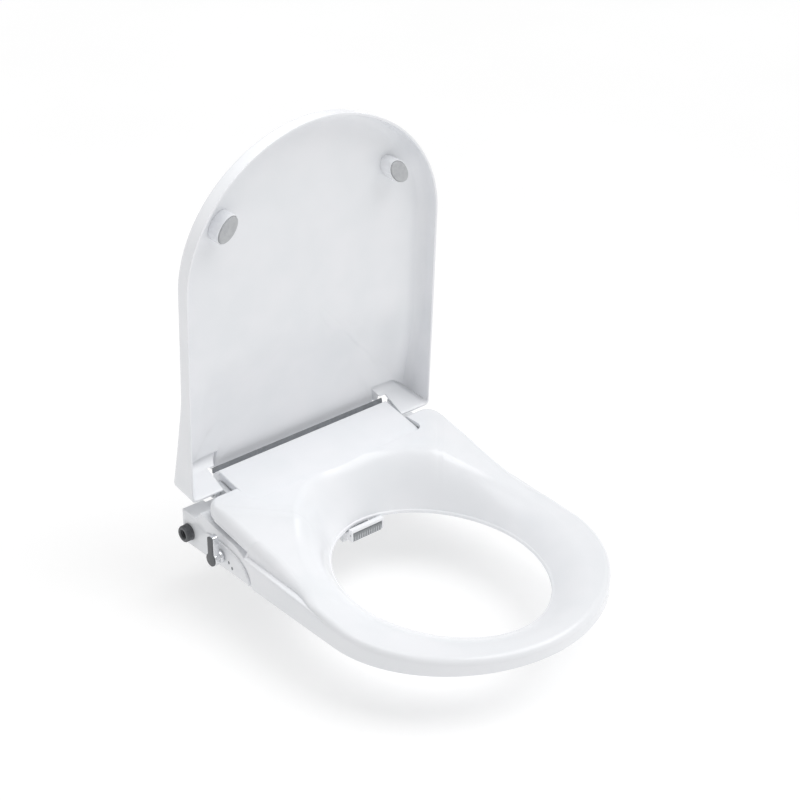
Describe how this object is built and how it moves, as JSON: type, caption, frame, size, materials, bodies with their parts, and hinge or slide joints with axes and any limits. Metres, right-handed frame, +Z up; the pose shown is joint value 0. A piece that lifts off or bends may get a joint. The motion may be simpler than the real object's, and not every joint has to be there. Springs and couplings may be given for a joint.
{
  "type": "bidet toilet seat",
  "caption": "Toilet seat with a built-in water spray: ring seat, hinged lid held open, rear housing with spray nozzles, side lever and threaded water inlet.",
  "frame": {"origin": "on the bowl's top face, midway between the two fixing bolts, directly below the hinge axis", "axes": "+Z up from the bowl's face, -Y forwards to the seat's front, +X to the side away from the lever, which is the left of someone sitting on it"},
  "size_m": [0.3763, 0.4687, 0.5663],
  "materials": {
    "white_gloss": "gloss white moulded plastic",
    "white_matte": "plain white moulded plastic",
    "panel_grey": "very light grey gloss plastic",
    "grey_plastic": "mid grey moulded plastic",
    "dark_plastic": "dark grey moulded plastic",
    "chrome": "bright plated plastic",
    "steel": "stainless steel",
    "grey_rubber": "soft light grey rubber",
    "pad_grey": "soft grey rubber",
    "hose_rubber": "translucent grey hose"
  },
  "bodies": {
    "base": {"base_foot_front_left": "grey_rubber", "base_foot_front_right": "grey_rubber", "base_foot_rear_left": "grey_rubber", "base_foot_rear_right": "grey_rubber", "base_housing": "white_gloss", "base_plate": "white_matte", "bolt_left": "steel", "bolt_right": "steel", "bolt_nut_left": "white_matte", "bolt_nut_right": "white_matte", "bolt_washer_left": "grey_rubber", "bolt_washer_right": "grey_rubber", "control_panel": "panel_grey", "damper_left": "grey_plastic", "damper_right": "grey_plastic", "gate_pin": "steel", "hinge_pin_left": "grey_plastic", "hinge_pin_right": "grey_plastic", "inlet_filter": "steel", "inlet_fitting": "dark_plastic", "inlet_nut": "dark_plastic", "mounting_plate": "white_matte", "nozzle_block": "white_matte", "nozzle_hood": "white_gloss", "supply_hose": "hose_rubber", "top_cover": "white_gloss", "valve_body": "dark_plastic", "wash_hose_front": "hose_rubber", "wash_hose_rear": "hose_rubber"},
    "lever": {"control_lever": "chrome", "lever_cap": "dark_plastic", "lever_spindle": "dark_plastic"},
    "lid": {"lid_bumper_pad_left": "pad_grey", "lid_bumper_pad_right": "pad_grey", "lid_bumper_post_left": "white_gloss", "lid_bumper_post_right": "white_gloss", "lid_hinge_left": "white_matte", "lid_hinge_right": "white_matte", "lid_shell": "white_gloss"},
    "front_nozzle": {"nozzle_front": "white_gloss"},
    "gate": {"nozzle_gate": "grey_plastic"},
    "rear_nozzle": {"nozzle_rear": "white_gloss"},
    "release": {"release_button": "panel_grey"},
    "seat": {"seat_buffer_front_left": "grey_rubber", "seat_buffer_front_right": "grey_rubber", "seat_buffer_rear_left": "grey_rubber", "seat_buffer_rear_right": "grey_rubber", "seat_hinge_left": "white_matte", "seat_hinge_right": "white_matte", "seat_ring": "white_gloss"}
  },
  "joints": [
    {"name": "lid_hinge", "type": "hinge", "parent": "base", "child": "lid", "pos_m": [0, 0, 0.062], "axis": [-1, 0, 0], "range_deg": [-89.9, 12]},
    {"name": "seat_hinge", "type": "hinge", "parent": "base", "child": "seat", "pos_m": [0, 0, 0.062], "axis": [-1, 0, 0], "range_deg": [0, 87]},
    {"name": "lever_turn", "type": "hinge", "parent": "base", "child": "lever", "pos_m": [-0.1765, -0.063, 0.02], "axis": [-1, 0, 0], "range_deg": [-60, 60]},
    {"name": "rear_nozzle_slide", "type": "slide", "parent": "base", "child": "rear_nozzle", "axis": [0, -0.9397, -0.342], "range_m": [0, 0.035]},
    {"name": "front_nozzle_slide", "type": "slide", "parent": "base", "child": "front_nozzle", "axis": [0, -0.9397, -0.342], "range_m": [0, 0.035]},
    {"name": "gate_hinge", "type": "hinge", "parent": "base", "child": "gate", "pos_m": [0, -0.1099, 0.005], "axis": [-1, 0, 0], "range_deg": [0, 60]},
    {"name": "release_slide", "type": "slide", "parent": "base", "child": "release", "axis": [-1, 0, 0], "range_m": [0, 0.003], "stiffness_N_per_m": 400, "springref_m": -0.004}
  ]
}
